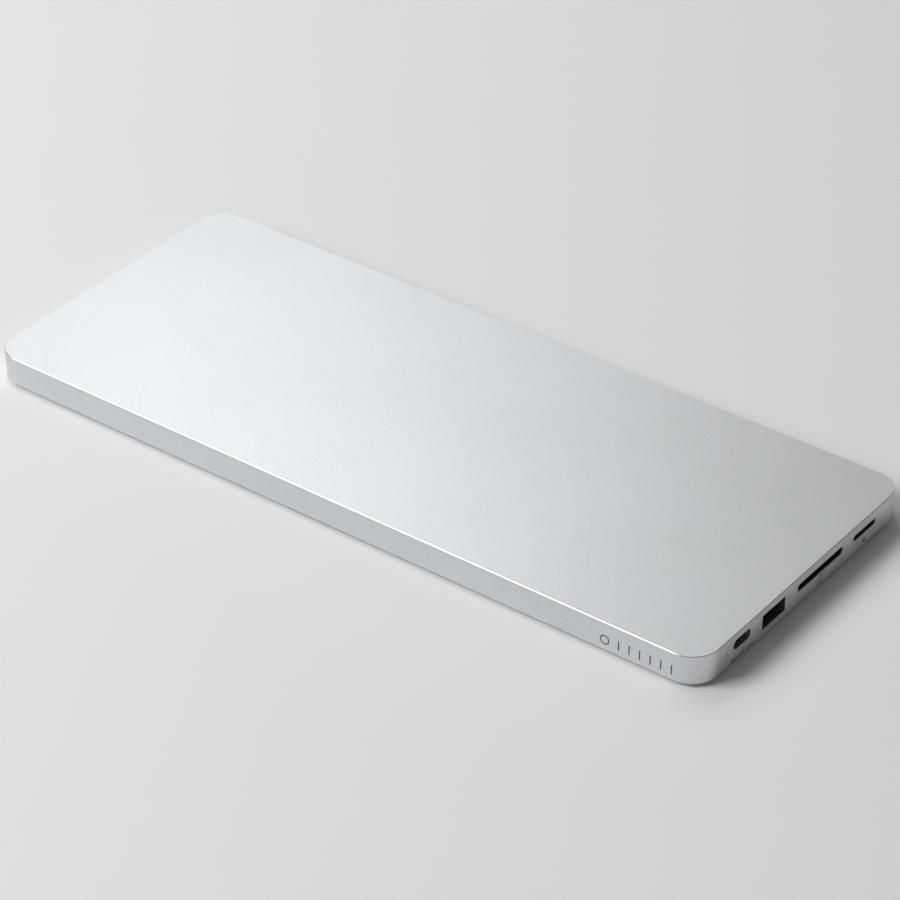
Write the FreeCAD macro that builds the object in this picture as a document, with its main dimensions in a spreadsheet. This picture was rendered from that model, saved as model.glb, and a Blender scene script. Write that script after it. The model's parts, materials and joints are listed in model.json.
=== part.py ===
import FreeCAD, Part
import os
import re
from math import radians

import Sketcher

# A slim desktop usb hub with an SSD bay in its underside.
# Origin: on the floor under the middle of the case. +X to the end with the ports, -Y to the front, +Z up.

SIZES = {
    # Case
    "case_length": 280.0,
    "case_width": 116.0,
    "case_height": 10.2,
    "corner_radius": 9.5,
    "top_edge_break": 0.15,
    "bottom_edge_break": 0.25,
    "port_edge_break": 0.12,
    "wall": 2.0,
    "roof": 1.6,
    "foot_height": 1.0,
    # Fits, and how far a cut runs past the face that it opens
    "fit_gap": 0.15,
    "thread_gap": 0.02,
    "cut_past": 0.2,
    # Base plate, let into the case from below
    "base_thickness": 1.2,
    "rim": 1.0,
    "screw_inset": 9.0,
    "boss_radius": 2.6,
    "countersink": 0.9,
    # Screws
    "screw_radius": 0.93,
    "tapped_radius": 0.98,
    "clear_radius": 1.05,
    "head_radius": 1.8,
    "base_head_height": 0.85,
    "base_screw_reach": 4.5,
    "board_head_height": 1.1,
    "board_screw_reach": 3.0,
    "tapped_past_screw": 1.0,
    "hex_radius": 0.75,
    "hex_depth": 0.6,
    # Feet
    "foot_length": 104.0,
    "foot_width": 8.0,
    "foot_sink": 0.4,
    "foot_edge_break": 0.3,
    # Ports: distance from the middle of the case, and height above the floor
    "led_across": -43.3,
    "led_level": 5.8,
    "type_c_across": -35.5,
    "type_c_level": 7.0,
    "type_a_across": -18.0,
    "type_a_level": 6.05,
    "sd_across": 8.15,
    "sd_level": 7.0,
    "micro_across": 33.9,
    "micro_level": 6.92,
    "host_along": 66.0,
    "rear_left_along": 90.0,
    "rear_right_along": 112.0,
    # Port openings in the case, and how much of the wall is left in front of a seat
    "led_radius": 0.35,
    "type_c_open_width": 9.24,
    "type_c_open_height": 3.3,
    "type_a_open_width": 12.7,
    "type_a_open_height": 5.1,
    "type_a_lip": 0.8,
    "sd_open_width": 25.8,
    "sd_open_height": 2.45,
    "micro_open_width": 13.0,
    "micro_open_height": 1.85,
    "card_lip": 0.5,
    # Planes between the sections of the port end's wall, front to rear, and of the rear wall, left to right
    "end_section_a": -41.5,
    "end_section_b": -26.75,
    "end_section_c": -8.75,
    "end_section_d": 24.4,
    "end_section_e": 43.0,
    "rear_section_a": 58.0,
    "rear_section_b": 77.0,
    "rear_section_c": 101.0,
    "rear_section_d": 122.0,
    # Type A receptacle
    "type_a_width": 12.5,
    "type_a_height": 5.12,
    "type_a_depth": 14.0,
    "type_a_block": 3.2,
    "type_a_tongue_width": 11.1,
    "type_a_tongue_height": 1.84,
    "type_a_tongue_setback": 1.5,
    "type_a_notch": 0.3,
    # Type C receptacle
    "type_c_width": 8.44,
    "type_c_height": 2.56,
    "type_c_depth": 7.5,
    "type_c_lip": 1.0,
    "type_c_block": 1.5,
    "type_c_tongue_width": 6.68,
    "type_c_tongue_height": 0.7,
    "type_c_tongue_setback": 0.9,
    # Sheet metal of the connectors
    "shell_sheet": 0.28,
    "cover_sheet": 0.2,
    # Card sockets
    "sd_card_width": 24.4,
    "sd_card_height": 2.3,
    "sd_depth": 28.6,
    "sd_rail": 1.8,
    "micro_card_width": 11.4,
    "micro_card_height": 1.3,
    "micro_depth": 16.6,
    "micro_rail": 1.5,
    "card_stop": 1.5,
    "card_contact_length": 5.0,
    "card_contact_rise": 0.12,
    # Main board
    "board_top": 5.3,
    "board_thickness": 1.2,
    "board_left": 14.0,
    "board_front": -45.8,
    "board_gap": 0.6,
    "post_radius": 2.5,
    # Parts on the board
    "can_foot_width": 4.3,
    "can_foot_height": 0.5,
    "can_radius": 2.0,
    "can_height": 3.8,
    "ceramic_length": 1.6,
    "ceramic_width": 0.8,
    "ceramic_from_chip": 1.4,
    "pad_margin": 1.0,
    # Status light
    "led_length": 1.6,
    "led_width": 0.8,
    "led_height": 0.6,
    "led_from_wall": 3.2,
    "pipe_length": 2.0,
    "pipe_width": 2.2,
    "pipe_height": 1.3,
    "pipe_radius": 0.32,
    "pipe_recess": 0.5,
    # SSD bay
    "bay_left": -88.0,
    "bay_right": 11.5,
    "bay_width": 30.0,
    "bay_wall": 1.2,
    "bay_corner": 2.0,
    "ledge_reach": 1.6,
    "ledge_height": 1.0,
    "shelf_length": 6.8,
    "socket_way_width": 22.2,
    "socket_way_top": 8.0,
    # Bay cover
    "cover_travel": 6.0,
    "cover_gap": 0.1,
    "hook_from_end": 30.5,
    "hook_pitch": 40.0,
    "hook_length": 4.0,
    "hook_root": 1.4,
    "hook_neck": 0.2,
    "hook_bite": 1.3,
    "hook_thickness": 0.8,
    "notch_gap": 0.5,
    "arrow_from_edge": 4.0,
    "arrow_length": 3.0,
    "arrow_width": 4.4,
    "arrow_depth": 0.25,
    "groove_from_edge": 9.0,
    "groove_pitch": 1.5,
    "groove_width": 0.8,
    "groove_length": 16.0,
    "groove_depth": 0.35,
    # Where the SSD lies, and what holds its far end
    "ssd_end": -66.0,
    "ssd_level": 5.2,
    "ssd_thickness": 0.8,
    "ssd_notch_radius": 1.6,
    "standoff_radius": 2.4,
    "retainer_thickness": 0.7,
    "retainer_gap": 0.05,
    "finger_reach": 4.2,
    "finger_half_angle": 20.0,
    "rib_reach": 3.9,
    "rib_width": 0.6,
    "rib_height": 0.45,
    "pivot_radius": 1.0,
    "pivot_head_radius": 1.7,
    "pivot_head_height": 0.4,
    "pivot_thread_radius": 0.75,
    "pivot_thread_reach": 2.0,
    "driver_slot_length": 2.4,
    "driver_slot_width": 0.5,
    "driver_slot_depth": 0.2,
    # Pad between the SSD and the roof
    "ssd_chip_height": 1.6,
    "ssd_pad_inset": 8.0,
    "ssd_pad_width": 18.0,
    # Edge socket that the SSD plugs into
    "edge_overhang": 1.0,
    "edge_length": 8.7,
    "edge_width": 21.8,
    "edge_below": 1.8,
    "edge_above": 2.4,
    "edge_slot_width": 20.2,
    "edge_slot_depth": 5.5,
    "edge_slot_gap": 0.1,
    "edge_key_across": 6.2,
    "edge_key_width": 0.9,
    "edge_pin_pitch": 0.5,
    "edge_pin_length": 3.2,
    "edge_pin_width": 0.26,
    "edge_pin_sheet": 0.08,
    "edge_tab_length": 3.0,
    "edge_tab_reach": 2.0,
    "edge_tab_height": 0.6,
}

doc = FreeCAD.newDocument("usb_hub")
sheet = doc.addObject("Spreadsheet::Sheet", "sizes")
for row, (alias, number) in enumerate(SIZES.items(), start=1):
    sheet.set(f"A{row}", alias)
    sheet.set(f"B{row}", str(number))
    sheet.setAlias(f"B{row}", alias)
doc.recompute()

WORD = re.compile(r"[a-z_]+")
ORIGIN_POINT = (-1, 1)
START, END, CENTRE = 1, 2, 3
FULL_TURN = 360

nodes = []
additive_features = []
cutting_features = []


# ---------------------------------------------------------------- formulas and nodes


def formula(text):
    """A size, or a formula in the sheet's words, as an expression of this document."""
    def expand(word):
        return f"sizes.{word.group()}" if word.group() in SIZES else word.group()

    return WORD.sub(expand, str(text))


def value(text):
    """The number that a formula gives."""
    return float(sheet.evalExpression(formula(text)))


def bind(item, sizes):
    """Binds properties of an object to formulas."""
    for name, text in sizes.items():
        item.setExpression(name, formula(text))


def at(item, along=0, across=0, level=0):
    """Binds an object's place."""
    bind(item, {"Placement.Base.x": along, "Placement.Base.y": across, "Placement.Base.z": level})
    return item


def turned(item, axis, degrees):
    """Gives an object's place its turn."""
    item.Placement = FreeCAD.Placement(item.Placement.Base, FreeCAD.Rotation(FreeCAD.Vector(*axis), degrees))
    return item


def node(item, name):
    """Names a finished sub-part."""
    item.Label = name
    nodes.append(item)
    return item


# ---------------------------------------------------------------- primitives and booleans


def block(left, right, front, rear, low, high, name="block"):
    """A box between six planes."""
    box = doc.addObject("Part::Box", name)
    bind(box, {
        "Length": f"({right}) - ({left})",
        "Width": f"({rear}) - ({front})",
        "Height": f"({high}) - ({low})",
    })
    return at(box, left, front, low)


def slab(middle_along, middle_across, length, width, low, high):
    """A box about a middle point in plan."""
    return block(
        f"{middle_along} - ({length}) / 2", f"{middle_along} + ({length}) / 2",
        f"{middle_across} - ({width}) / 2", f"{middle_across} + ({width}) / 2", low, high,
    )


def rod(radius, along, across, low, high, sector=FULL_TURN):
    """An upright cylinder, or a sector of one."""
    cylinder = doc.addObject("Part::Cylinder", "rod")
    bind(cylinder, {"Radius": radius, "Height": f"({high}) - ({low})", "Angle": sector})
    return at(cylinder, along, across, low)


def rod_along(radius, left, right, across, level):
    """A cylinder lying along X."""
    cylinder = doc.addObject("Part::Cylinder", "rod_along")
    bind(cylinder, {"Radius": radius, "Height": f"({right}) - ({left})"})
    return at(turned(cylinder, (0, 1, 0), 90), left, across, level)


def joined(*pieces):
    """One solid made of pieces that touch or overlap."""
    fuse = doc.addObject("Part::MultiFuse", "joined")
    fuse.Shapes = list(pieces)
    fuse.Refine = True
    return fuse


def without(base, *tools):
    """A solid with others taken out of it."""
    cut = doc.addObject("Part::Cut", "without")
    cut.Base = base
    cut.Tool = tools[0] if len(tools) == 1 else joined(*tools)
    cut.Refine = True
    return cut


def within(base, room):
    """The share of a solid that lies in a box."""
    common = doc.addObject("Part::Common", "within")
    common.Base = base
    common.Tool = room
    common.Refine = True
    return common


def group(pieces):
    """Separate solids kept as one sub-part."""
    compound = doc.addObject("Part::Compound", "group")
    compound.Links = list(pieces)
    return compound


# ---------------------------------------------------------------- sketched bodies


def new_body(name):
    """A body whose label is its sub-part's name."""
    return node(doc.addObject("PartDesign::Body", name + "_body"), name)


def sketch_on(body, plane, level):
    """A sketch on one of the body's own planes, lifted along the plane's normal."""
    sketch = body.newObject("Sketcher::SketchObject", "outline")
    support = next(feature for feature in body.Origin.OriginFeatures if feature.Role == plane)
    sketch.AttachmentSupport = (support, [""])
    sketch.MapMode = "FlatFace"
    sketch.setExpression("AttachmentOffset.Base.z", formula(level))
    return sketch


def dimension(sketch, kind, targets, text):
    """A sketch dimension bound to a formula."""
    index = sketch.addConstraint(Sketcher.Constraint(kind, *targets, value(text)))
    sketch.setExpression(f"Constraints[{index}]", formula(text))


def place_point(sketch, point, u, v):
    """Dimensions a sketch point from the origin."""
    dimension(sketch, "DistanceX", ORIGIN_POINT + point, u)
    dimension(sketch, "DistanceY", ORIGIN_POINT + point, v)


def chain(sketch, edges, kind):
    """Joins the end of each edge to the start of the next, back to the first."""
    for edge, following in zip(edges, edges[1:] + edges[:1]):
        sketch.addConstraint(Sketcher.Constraint(kind, edge, END, following, START))


def add_line(sketch, start, end):
    """A straight edge between two points."""
    line = Part.LineSegment(FreeCAD.Vector(*start, 0), FreeCAD.Vector(*end, 0))
    return sketch.addGeometry(line, False)


def add_arc(sketch, middle, radius, first_degrees, last_degrees):
    """An arc of a circle, anticlockwise."""
    circle = Part.Circle(FreeCAD.Vector(*middle, 0), FreeCAD.Vector(0, 0, 1), radius)
    return sketch.addGeometry(Part.ArcOfCircle(circle, radians(first_degrees), radians(last_degrees)), False)


def add_circle(sketch, u, v, radius):
    """A circle with its centre and radius dimensioned."""
    middle = FreeCAD.Vector(value(u), value(v), 0)
    circle = sketch.addGeometry(Part.Circle(middle, FreeCAD.Vector(0, 0, 1), value(radius)), False)
    place_point(sketch, (circle, CENTRE), u, v)
    dimension(sketch, "Radius", (circle,), radius)


def add_corners(sketch, corners):
    """Straight edges between the corners in turn, back to the first."""
    points = [(value(u), value(v)) for u, v in corners]
    lines = [add_line(sketch, *ends) for ends in zip(points, points[1:] + points[:1])]
    chain(sketch, lines, "Coincident")
    return lines


def add_triangle(sketch, corners):
    """A triangle with every corner dimensioned."""
    lines = add_corners(sketch, corners)
    for line, (u, v) in zip(lines, corners):
        place_point(sketch, (line, START), u, v)


def add_rectangle(sketch, left, right, low, high):
    """A rectangle dimensioned at two opposite corners."""
    lines = add_corners(sketch, [(left, low), (right, low), (right, high), (left, high)])
    for line, kind in zip(lines, ("Horizontal", "Vertical") * 2):
        sketch.addConstraint(Sketcher.Constraint(kind, line))
    place_point(sketch, (lines[0], START), left, low)
    place_point(sketch, (lines[2], START), right, high)


def add_rounded_rectangle(sketch, left, right, low, high, radius):
    """A rectangle with four equal round corners."""
    x0, x1, y0, y1, r = (value(text) for text in (left, right, low, high, radius))
    sides = [
        ((x0 + r, y0), (x1 - r, y0)), ((x1, y0 + r), (x1, y1 - r)),
        ((x1 - r, y1), (x0 + r, y1)), ((x0, y1 - r), (x0, y0 + r)),
    ]
    middles = [(x1 - r, y0 + r), (x1 - r, y1 - r), (x0 + r, y1 - r), (x0 + r, y0 + r)]
    edges = []
    for quarter, (side, middle) in enumerate(zip(sides, middles)):
        edges.append(add_line(sketch, *side))
        edges.append(add_arc(sketch, middle, r, 90 * quarter - 90, 90 * quarter))
    chain(sketch, edges, "Tangent")
    lines, arcs = edges[::2], edges[1::2]
    for line, kind in zip(lines, ("Horizontal", "Vertical") * 2):
        sketch.addConstraint(Sketcher.Constraint(kind, line))
    for arc in arcs[1:]:
        sketch.addConstraint(Sketcher.Constraint("Equal", arcs[0], arc))
    dimension(sketch, "Radius", (arcs[0],), radius)
    for line, kind, text in zip(lines, ("DistanceY", "DistanceX") * 2, (low, right, high, left)):
        dimension(sketch, kind, ORIGIN_POINT + (line, START), text)


def add_stadium(sketch, middle_u, middle_v, length, height):
    """A slot with half-round ends, lying along the sketch's first axis."""
    radius_text = f"({height}) / 2"
    reach_text = f"(({length}) - ({height})) / 2"
    u, v, radius, reach = (value(text) for text in (middle_u, middle_v, radius_text, reach_text))
    edges = [
        add_line(sketch, (u - reach, v - radius), (u + reach, v - radius)),
        add_arc(sketch, (u + reach, v), radius, -90, 90),
        add_line(sketch, (u + reach, v + radius), (u - reach, v + radius)),
        add_arc(sketch, (u - reach, v), radius, 90, 270),
    ]
    chain(sketch, edges, "Tangent")
    sketch.addConstraint(Sketcher.Constraint("Horizontal", edges[0]))
    sketch.addConstraint(Sketcher.Constraint("Horizontal", edges[2]))
    dimension(sketch, "Radius", (edges[1],), radius_text)
    place_point(sketch, (edges[1], CENTRE), f"{middle_u} + {reach_text}", middle_v)
    dimension(sketch, "DistanceX", ORIGIN_POINT + (edges[3], CENTRE), f"{middle_u} - {reach_text}")


def pad(body, sketch, length):
    """Adds material along the sketch's normal."""
    feature = body.newObject("PartDesign::Pad", "pad")
    feature.Profile = sketch
    bind(feature, {"Length": length})
    additive_features.append(feature)
    return feature


def pocket(body, sketch, depth, along_normal=False):
    """Takes material out against the sketch's normal, or along it."""
    feature = body.newObject("PartDesign::Pocket", "pocket")
    feature.Profile = sketch
    feature.Reversed = along_normal
    bind(feature, {"Length": depth})
    cutting_features.append(feature)
    return feature


def repeated(body, feature, sketch, pitch, count):
    """Repeats a feature in a row along its sketch's first axis."""
    pattern = body.newObject("PartDesign::LinearPattern", "row")
    pattern.Originals = [feature]
    pattern.Direction = (sketch, ["H_Axis"])
    pattern.Occurrences = count
    bind(pattern, {"Length": f"{pitch} * {count - 1}"})
    cutting_features.append(pattern)
    body.Tip = pattern
    return pattern


def chamfer(body, size, chosen):
    """Breaks the body's edges that are chosen."""
    doc.recompute()
    base = body.Tip
    names = [f"Edge{i}" for i, edge in enumerate(base.Shape.Edges, start=1) if chosen(edge)]
    feature = body.newObject("PartDesign::Chamfer", "chamfer")
    feature.Base = (base, names)
    bind(feature, {"Size": size})
    cutting_features.append(feature)
    return feature


def lies_at(edge, axis, level):
    """Whether an edge lies in the plane across an axis at a level."""
    box = edge.BoundBox
    ends = {"x": (box.XMin, box.XMax), "y": (box.YMin, box.YMax), "z": (box.ZMin, box.ZMax)}[axis]
    return all(abs(end - level) < 0.001 for end in ends)


def is_circle(edge, radius):
    """Whether an edge is round, with that radius."""
    return edge.Curve.TypeId == "Part::GeomCircle" and abs(edge.Curve.Radius - radius) < 0.001


# ---------------------------------------------------------------- places used by several sub-parts

HALF_LENGTH = "case_length / 2"
HALF_WIDTH = "case_width / 2"
BASE_TOP = "foot_height + base_thickness"
CEILING = "foot_height + case_height - roof"
BOARD_BOTTOM = "board_top - board_thickness"
BOSSES = [
    (f"{side} * ({HALF_LENGTH} - screw_inset)", f"{end} * ({HALF_WIDTH} - screw_inset)")
    for side in (-1, 0, 1) for end in (-1, 1)
]
POSTS = [
    ("board_left + 8", "board_front + 6"), ("board_left + 8", "board_front + 90"),
    ("board_left + 56", "board_front + 6"), ("board_left + 88", "board_front + 76"),
    ("board_left + 98", "board_front + 6"),
]
HOOKS = [
    (f"bay_right - hook_from_end - {step} * hook_pitch", side)
    for step in (0, 1) for side in (-1, 1)
]
END_SECTIONS = [f"end_section_{letter}" for letter in "abcde"]
REAR_SECTIONS = [f"rear_section_{letter}" for letter in "abcd"]
REAR_TYPE_A = ("rear_left_along", "rear_right_along")
CARDS = ("sd", "micro")


def circles_at(body, places, radius, level):
    """A sketch of equal circles in plan."""
    sketch = sketch_on(body, "XY_Plane", level)
    for along, across in places:
        add_circle(sketch, along, across, radius)
    return sketch


# ---------------------------------------------------------------- case, base and feet


def outer_outline(body, inset, level):
    """The case's plan outline, moved in by an inset."""
    sketch = sketch_on(body, "XY_Plane", level)
    add_rounded_rectangle(
        sketch, f"-({HALF_LENGTH}) + {inset}", f"{HALF_LENGTH} - ({inset})",
        f"-({HALF_WIDTH}) + {inset}", f"{HALF_WIDTH} - ({inset})", f"corner_radius - ({inset})",
    )
    return sketch


def mill_case():
    """The case as it is milled: roof and walls, with screw bosses and the port openings."""
    body = doc.addObject("PartDesign::Body", "milled_case")
    pad(body, outer_outline(body, "0", "foot_height"), "case_height")
    pocket(body, outer_outline(body, "wall", "foot_height"), "case_height - roof", along_normal=True)
    pocket(body, outer_outline(body, "rim", "foot_height"), "base_thickness", along_normal=True)
    for places, radius, low, screw_reach in (
        (BOSSES, "boss_radius", BASE_TOP, "base_screw_reach"),
        (POSTS, "post_radius", "board_top", "board_screw_reach"),
    ):
        pad(body, circles_at(body, places, radius, low), f"{CEILING} - ({low}) + roof / 2")
        hole_depth = f"{screw_reach} + tapped_past_screw"
        pocket(body, circles_at(body, places, "tapped_radius", low), hole_depth, along_normal=True)
    cut_end_ports(body)
    cut_rear_ports(body)
    chamfer(body, "top_edge_break", lambda edge: lies_at(edge, "z", value("foot_height + case_height")))
    chamfer(body, "bottom_edge_break", on_outer_bottom)
    chamfer(body, "port_edge_break", round_port)
    return body


def wall_room(first, last, side):
    """The box below the roof that holds the wall of the port end, or of the rear, between two planes."""
    levels = ("foot_height - cut_past", CEILING)
    if side == "end":
        return block(f"{HALF_LENGTH} - wall", f"{HALF_LENGTH} + cut_past", first, last, *levels)
    return block(first, last, f"{HALF_WIDTH} - wall", f"{HALF_WIDTH} + cut_past", *levels)


def make_case():
    """The milled case as three sub-parts: its ported walls are in sections, each round one port."""
    milled = mill_case()
    rooms = []
    for name, planes, side in (
        ("port_end_wall", END_SECTIONS, "end"), ("rear_port_wall", REAR_SECTIONS, "rear"),
    ):
        spans = zip(planes, planes[1:])
        node(group([within(milled, wall_room(first, last, side)) for first, last in spans]), name)
        rooms.append(wall_room(planes[0], planes[-1], side))
    node(without(milled, *rooms), "top_case")


def on_outer_bottom(edge):
    """Whether an edge of the case is on its lower outer outline."""
    middle = edge.CenterOfMass
    on_side = abs(middle.x) > value(f"{HALF_LENGTH} - rim") or abs(middle.y) > value(f"{HALF_WIDTH} - rim")
    on_corner = is_circle(edge, value("corner_radius"))
    return lies_at(edge, "z", value("foot_height")) and (on_side or on_corner)


def round_port(edge):
    """Whether an edge of the case goes round a port opening, in the end face or the rear one."""
    middle = edge.CenterOfMass
    between = value("foot_height + rim") < middle.z < value("foot_height + case_height - rim")
    on_end = lies_at(edge, "x", value(HALF_LENGTH)) and abs(middle.y) < value(f"{HALF_WIDTH} - corner_radius")
    on_rear = lies_at(edge, "y", value(HALF_WIDTH)) and middle.x < value(f"{HALF_LENGTH} - corner_radius")
    return between and (on_end or on_rear)


def cut_end_ports(body):
    """Openings in the port end: light, type C, type A and the two card slots, and seats behind them."""
    face = sketch_on(body, "YZ_Plane", HALF_LENGTH)
    add_circle(face, "led_across", "led_level", "led_radius")
    add_stadium(face, "type_c_across", "type_c_level", "type_c_open_width", "type_c_open_height")
    add_type_a_opening(face, "type_a_across")
    for name in CARDS:
        add_stadium(face, f"{name}_across", f"{name}_level", f"{name}_open_width", f"{name}_open_height")
    pocket(body, face, "wall + cut_past")
    shell_seat = sketch_on(body, "YZ_Plane", f"{HALF_LENGTH} - type_a_lip")
    add_shell_seat(shell_seat, "type_a_across")
    pocket(body, shell_seat, "wall - type_a_lip + cut_past")
    card_seats = sketch_on(body, "YZ_Plane", f"{HALF_LENGTH} - card_lip")
    for name in CARDS:
        reach = f"({name}_card_width / 2 + {name}_rail + cover_sheet + fit_gap)"
        add_rectangle(
            card_seats, f"{name}_across - {reach}", f"{name}_across + {reach}",
            "board_top - fit_gap", f"{name}_level + {name}_card_height / 2 + cover_sheet + fit_gap",
        )
    pocket(body, card_seats, "wall - card_lip + cut_past")


def cut_rear_ports(body):
    """Openings in the rear side: the host port and two type A ports, with seats behind the latter."""
    face = sketch_on(body, "XZ_Plane", f"-({HALF_WIDTH})")
    add_stadium(face, "host_along", "type_c_level", "type_c_open_width", "type_c_open_height")
    seats = sketch_on(body, "XZ_Plane", f"-({HALF_WIDTH} - type_a_lip)")
    for along in REAR_TYPE_A:
        add_type_a_opening(face, along)
        add_shell_seat(seats, along)
    pocket(body, face, "wall + cut_past", along_normal=True)
    pocket(body, seats, "wall - type_a_lip + cut_past", along_normal=True)


def add_type_a_opening(sketch, middle):
    """The opening in the wall in front of a type A receptacle."""
    add_rectangle(
        sketch, f"{middle} - type_a_open_width / 2", f"{middle} + type_a_open_width / 2",
        "type_a_level - type_a_open_height / 2", "type_a_level + type_a_open_height / 2",
    )


def add_shell_seat(sketch, middle):
    """The pocket behind the wall that a type A shell's mouth sits in."""
    reach = "(type_a_width / 2 + shell_sheet + fit_gap)"
    rise = "(type_a_height / 2 + shell_sheet + fit_gap)"
    add_rectangle(
        sketch, f"{middle} - {reach}", f"{middle} + {reach}",
        f"type_a_level - {rise}", f"type_a_level + {rise}",
    )


def foot_places():
    """Name and plan middle of each of the four feet, which lie between the base screws."""
    along = f"({HALF_LENGTH} - screw_inset) / 2"
    across = f"({HALF_WIDTH} - screw_inset)"
    for side_name, side in (("left", -1), ("right", 1)):
        for end_name, end in (("front", -1), ("rear", 1)):
            yield f"foot_{end_name}_{side_name}", f"{side} * {along}", f"{end} * {across}"


def make_base_plate():
    """The plate that closes the case from below, with the bay's aperture and the feet's recesses."""
    body = new_body("base_plate")
    pad(body, outer_outline(body, "rim + fit_gap", "foot_height"), "base_thickness")
    pocket(body, bay_outline(body, "foot_height", "0"), "base_thickness", along_normal=True)
    recesses = sketch_on(body, "XY_Plane", "foot_height")
    for _, along, across in foot_places():
        add_stadium(recesses, along, across, "foot_length + 2 * fit_gap", "foot_width + 2 * fit_gap")
    pocket(body, recesses, "foot_sink", along_normal=True)
    holes = circles_at(body, BOSSES, "clear_radius", "foot_height")
    pocket(body, holes, "base_thickness", along_normal=True)
    chamfer(body, "countersink", lambda edge: (
        lies_at(edge, "z", value("foot_height")) and is_circle(edge, value("clear_radius"))
    ))
    return body


def make_feet():
    """Four rubber strips, let into the base plate."""
    for name, along, across in foot_places():
        body = new_body(name)
        sketch = sketch_on(body, "XY_Plane", "0")
        add_stadium(sketch, "0", "0", "foot_length", "foot_width")
        pad(body, sketch, "foot_height + foot_sink")
        chamfer(body, "foot_edge_break", lambda edge: lies_at(edge, "z", 0))
        at(body, along, across, 0)


def hex_socket(along, across, low):
    """The six-sided recess in a screw's head, which opens downwards."""
    prism = doc.addObject("Part::Prism", "hex_socket")
    prism.Polygon = 6
    bind(prism, {"Circumradius": "hex_radius", "Height": "hex_depth"})
    return at(prism, along, across, low)


def make_base_screws():
    """Countersunk screws that hold the base plate to the case's bosses."""
    screws = []
    low = "foot_height + thread_gap"
    for along, across in BOSSES:
        head = doc.addObject("Part::Cone", "head")
        bind(head, {"Radius1": "head_radius", "Radius2": "screw_radius", "Height": "base_head_height"})
        at(head, along, across, low)
        neck = f"{low} + base_head_height / 2"
        shank = rod("screw_radius", along, across, neck, f"{BASE_TOP} + base_screw_reach")
        screws.append(without(joined(head, shank), hex_socket(along, across, low)))
    node(group(screws), "base_screws")


# ---------------------------------------------------------------- SSD bay


def bay_outline(body, level, inset):
    """The bay's plan outline, moved in by an inset, or out by a negative one."""
    sketch = sketch_on(body, "XY_Plane", level)
    add_rounded_rectangle(
        sketch, f"bay_left + {inset}", f"bay_right - ({inset})",
        f"-bay_width / 2 + {inset}", f"bay_width / 2 - ({inset})", f"bay_corner - ({inset})",
    )
    return sketch


def add_side_rectangle(sketch, middle, half_length, side, inner, outer):
    """A rectangle on one side of the middle line, between an inner and an outer distance from it."""
    near, far = f"{side} * ({inner})", f"{side} * ({outer})"
    low, high = (far, near) if side < 0 else (near, far)
    add_rectangle(sketch, f"{middle} - {half_length}", f"{middle} + {half_length}", low, high)


def make_bay_frame():
    """The moulded wall round the SSD, with a notched ledge that the cover's hooks run over."""
    body = new_body("bay_frame")
    pad(body, bay_outline(body, BASE_TOP, "-bay_wall"), f"{CEILING} - ({BASE_TOP})")
    pocket(body, bay_outline(body, f"{BASE_TOP} + ledge_height", "0"), "case_height", along_normal=True)
    opening = sketch_on(body, "XY_Plane", BASE_TOP)
    add_rectangle(
        opening, "bay_left + shelf_length", "bay_right",
        "-bay_width / 2 + ledge_reach", "bay_width / 2 - ledge_reach",
    )
    pocket(body, opening, "ledge_height", along_normal=True)
    notches = sketch_on(body, "XY_Plane", BASE_TOP)
    for middle, side in HOOKS:
        add_side_rectangle(
            notches, f"{middle} - cover_travel", "(hook_length / 2 + notch_gap)", side,
            "bay_width / 2 - ledge_reach - cover_gap", "bay_width / 2",
        )
    pocket(body, notches, "ledge_height", along_normal=True)
    socket_way = sketch_on(body, "YZ_Plane", "bay_right + bay_wall")
    add_rectangle(socket_way, "-socket_way_width / 2", "socket_way_width / 2", BASE_TOP, "socket_way_top")
    pocket(body, socket_way, "bay_wall + cut_past")
    return body


COVER_LEFT = "bay_left + cover_travel + 2 * fit_gap"
GROOVES = 7


def make_ssd_cover():
    """The sliding cover under the bay: hooks hold it to the frame's ledge, and it slides to -X to let go."""
    body = new_body("ssd_cover")
    plate = sketch_on(body, "XY_Plane", "foot_height")
    add_rounded_rectangle(
        plate, COVER_LEFT, "bay_right - fit_gap",
        "-(bay_width / 2 - fit_gap)", "bay_width / 2 - fit_gap", "bay_corner - fit_gap",
    )
    pad(body, plate, "base_thickness - cover_gap")
    stems = sketch_on(body, "XY_Plane", f"{BASE_TOP} - cover_gap")
    toes = sketch_on(body, "XY_Plane", f"{BASE_TOP} + ledge_height + cover_gap")
    ledge_edge = "bay_width / 2 - ledge_reach"
    for middle, side in HOOKS:
        add_side_rectangle(
            stems, middle, "hook_length / 2", side, f"{ledge_edge} - hook_root", f"{ledge_edge} - hook_neck",
        )
        add_side_rectangle(
            toes, middle, "hook_length / 2", side, f"{ledge_edge} - hook_root", f"{ledge_edge} + hook_bite",
        )
    pad(body, stems, "ledge_height + 2 * cover_gap + hook_thickness")
    pad(body, toes, "hook_thickness")
    arrow = sketch_on(body, "XY_Plane", "foot_height")
    tip = f"{COVER_LEFT} + arrow_from_edge"
    tail = f"{tip} + arrow_length"
    add_triangle(arrow, [(tip, "0"), (tail, "arrow_width / 2"), (tail, "-arrow_width / 2")])
    pocket(body, arrow, "arrow_depth", along_normal=True)
    groove = sketch_on(body, "XY_Plane", "foot_height")
    first = f"{COVER_LEFT} + groove_from_edge"
    add_rectangle(groove, first, f"{first} + groove_width", "-groove_length / 2", "groove_length / 2")
    repeated(body, pocket(body, groove, "groove_depth", along_normal=True), groove, "groove_pitch", GROOVES)
    return body


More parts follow.
